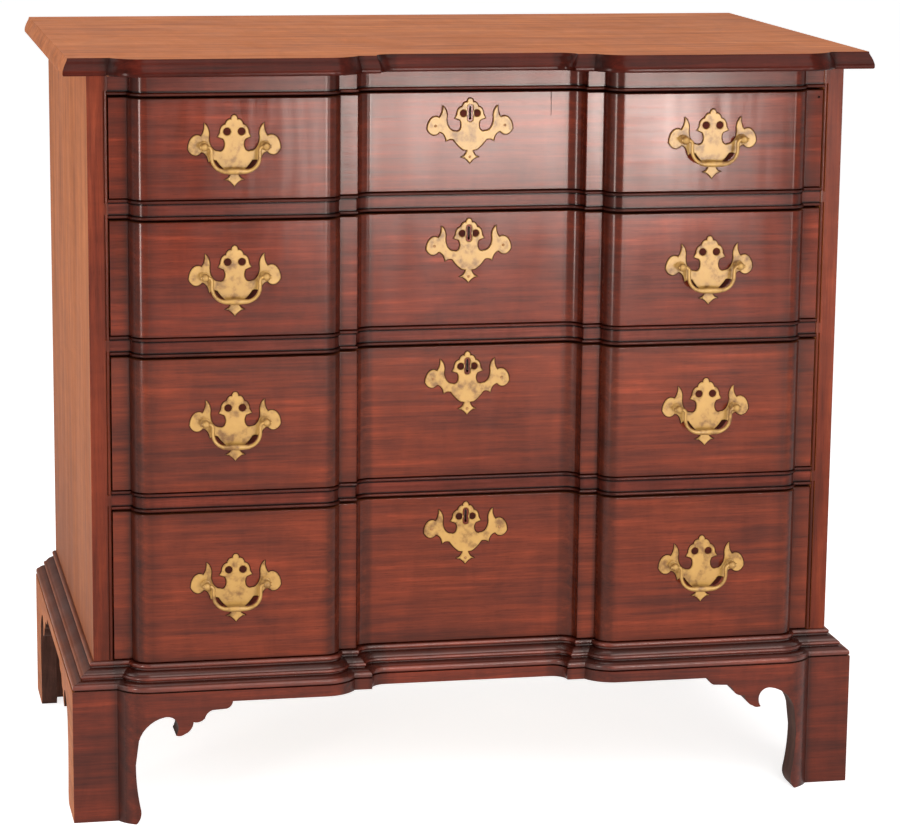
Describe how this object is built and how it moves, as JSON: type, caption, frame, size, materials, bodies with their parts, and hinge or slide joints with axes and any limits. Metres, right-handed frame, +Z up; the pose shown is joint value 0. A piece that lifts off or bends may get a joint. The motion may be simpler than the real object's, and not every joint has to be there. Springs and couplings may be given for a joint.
{
  "type": "chest of drawers",
  "caption": "Low mahogany chest with a blocked front, graduated dovetailed drawers with pierced brass pulls and escutcheons, and cusped bracket feet.",
  "frame": {"origin": "on the floor, under the middle of the chest's outline", "axes": "+X to the right as seen from the front, +Y towards the back, +Z up; the drawers open towards -Y"},
  "size_m": [0.8626, 0.552, 0.813],
  "materials": {
    "mahogany": "polished, open grain",
    "pine": "planed, unfinished, aged",
    "brass": "old polished cast brass",
    "iron": "dark, worn"
  },
  "bodies": {
    "case": {"top_board": "mahogany", "side_left": "mahogany", "side_right": "mahogany", "back_boards": "pine", "bottom_board": "pine", "top_front_rail": "mahogany", "top_back_rail": "pine", "drawer_blade_1": "mahogany", "drawer_blade_2": "mahogany", "drawer_blade_3": "mahogany", "drawer_runners": "pine", "drawer_stops": "pine", "base_moulding_front": "mahogany", "base_moulding_sides": "mahogany", "base_fascia": "mahogany", "foot_front_left": "mahogany", "foot_front_right": "mahogany", "foot_side_brackets": "mahogany", "foot_back_brackets": "pine", "base_blocks": "pine"},
    "drawer_4": {"drawer_4_front": "mahogany", "drawer_4_sides": "pine", "drawer_4_back": "pine", "drawer_4_bottom": "pine", "brass_plates_4": "brass", "pull_posts_4": "brass", "lock_4": "iron"},
    "bail_4_left": {"bail_4_left": "brass"},
    "bail_4_right": {"bail_4_right": "brass"},
    "lock_bolt_4": {"lock_bolt_4": "iron"},
    "drawer_3": {"drawer_3_front": "mahogany", "drawer_3_sides": "pine", "drawer_3_back": "pine", "drawer_3_bottom": "pine", "brass_plates_3": "brass", "pull_posts_3": "brass", "lock_3": "iron"},
    "bail_3_left": {"bail_3_left": "brass"},
    "bail_3_right": {"bail_3_right": "brass"},
    "lock_bolt_3": {"lock_bolt_3": "iron"},
    "drawer_2": {"drawer_2_front": "mahogany", "drawer_2_sides": "pine", "drawer_2_back": "pine", "drawer_2_bottom": "pine", "brass_plates_2": "brass", "pull_posts_2": "brass", "lock_2": "iron"},
    "bail_2_left": {"bail_2_left": "brass"},
    "bail_2_right": {"bail_2_right": "brass"},
    "lock_bolt_2": {"lock_bolt_2": "iron"},
    "drawer_1": {"drawer_1_front": "mahogany", "drawer_1_sides": "pine", "drawer_1_back": "pine", "drawer_1_bottom": "pine", "brass_plates_1": "brass", "pull_posts_1": "brass", "lock_1": "iron"},
    "bail_1_left": {"bail_1_left": "brass"},
    "bail_1_right": {"bail_1_right": "brass"},
    "lock_bolt_1": {"lock_bolt_1": "iron"}
  },
  "joints": [
    {"name": "drawer_4_slide", "type": "slide", "parent": "case", "child": "drawer_4", "axis": [0, -1, 0], "range_m": [0, 0.35]},
    {"name": "bail_4_left_swing", "type": "hinge", "parent": "drawer_4", "child": "bail_4_left", "pos_m": [-0.25553, -0.261, 0.2571], "axis": [-1, 0, 0], "range_deg": [-15, 160]},
    {"name": "bail_4_right_swing", "type": "hinge", "parent": "drawer_4", "child": "bail_4_right", "pos_m": [0.25553, -0.261, 0.2571], "axis": [-1, 0, 0], "range_deg": [-15, 160]},
    {"name": "lock_bolt_4_slide", "type": "slide", "parent": "drawer_4", "child": "lock_bolt_4", "axis": [0, 0, 1], "range_m": [0, 0.008]},
    {"name": "drawer_3_slide", "type": "slide", "parent": "case", "child": "drawer_3", "axis": [0, -1, 0], "range_m": [0, 0.35]},
    {"name": "bail_3_left_swing", "type": "hinge", "parent": "drawer_3", "child": "bail_3_left", "pos_m": [-0.25553, -0.261, 0.4317], "axis": [-1, 0, 0], "range_deg": [-15, 160]},
    {"name": "bail_3_right_swing", "type": "hinge", "parent": "drawer_3", "child": "bail_3_right", "pos_m": [0.25553, -0.261, 0.4317], "axis": [-1, 0, 0], "range_deg": [-15, 160]},
    {"name": "lock_bolt_3_slide", "type": "slide", "parent": "drawer_3", "child": "lock_bolt_3", "axis": [0, 0, 1], "range_m": [0, 0.008]},
    {"name": "drawer_2_slide", "type": "slide", "parent": "case", "child": "drawer_2", "axis": [0, -1, 0], "range_m": [0, 0.35]},
    {"name": "bail_2_left_swing", "type": "hinge", "parent": "drawer_2", "child": "bail_2_left", "pos_m": [-0.25553, -0.261, 0.58615], "axis": [-1, 0, 0], "range_deg": [-15, 160]},
    {"name": "bail_2_right_swing", "type": "hinge", "parent": "drawer_2", "child": "bail_2_right", "pos_m": [0.25553, -0.261, 0.58615], "axis": [-1, 0, 0], "range_deg": [-15, 160]},
    {"name": "lock_bolt_2_slide", "type": "slide", "parent": "drawer_2", "child": "lock_bolt_2", "axis": [0, 0, 1], "range_m": [0, 0.008]},
    {"name": "drawer_1_slide", "type": "slide", "parent": "case", "child": "drawer_1", "axis": [0, -1, 0], "range_m": [0, 0.35]},
    {"name": "bail_1_left_swing", "type": "hinge", "parent": "drawer_1", "child": "bail_1_left", "pos_m": [-0.25553, -0.261, 0.7219], "axis": [-1, 0, 0], "range_deg": [-15, 160]},
    {"name": "bail_1_right_swing", "type": "hinge", "parent": "drawer_1", "child": "bail_1_right", "pos_m": [0.25553, -0.261, 0.7219], "axis": [-1, 0, 0], "range_deg": [-15, 160]},
    {"name": "lock_bolt_1_slide", "type": "slide", "parent": "drawer_1", "child": "lock_bolt_1", "axis": [0, 0, 1], "range_m": [0, 0.008]}
  ]
}
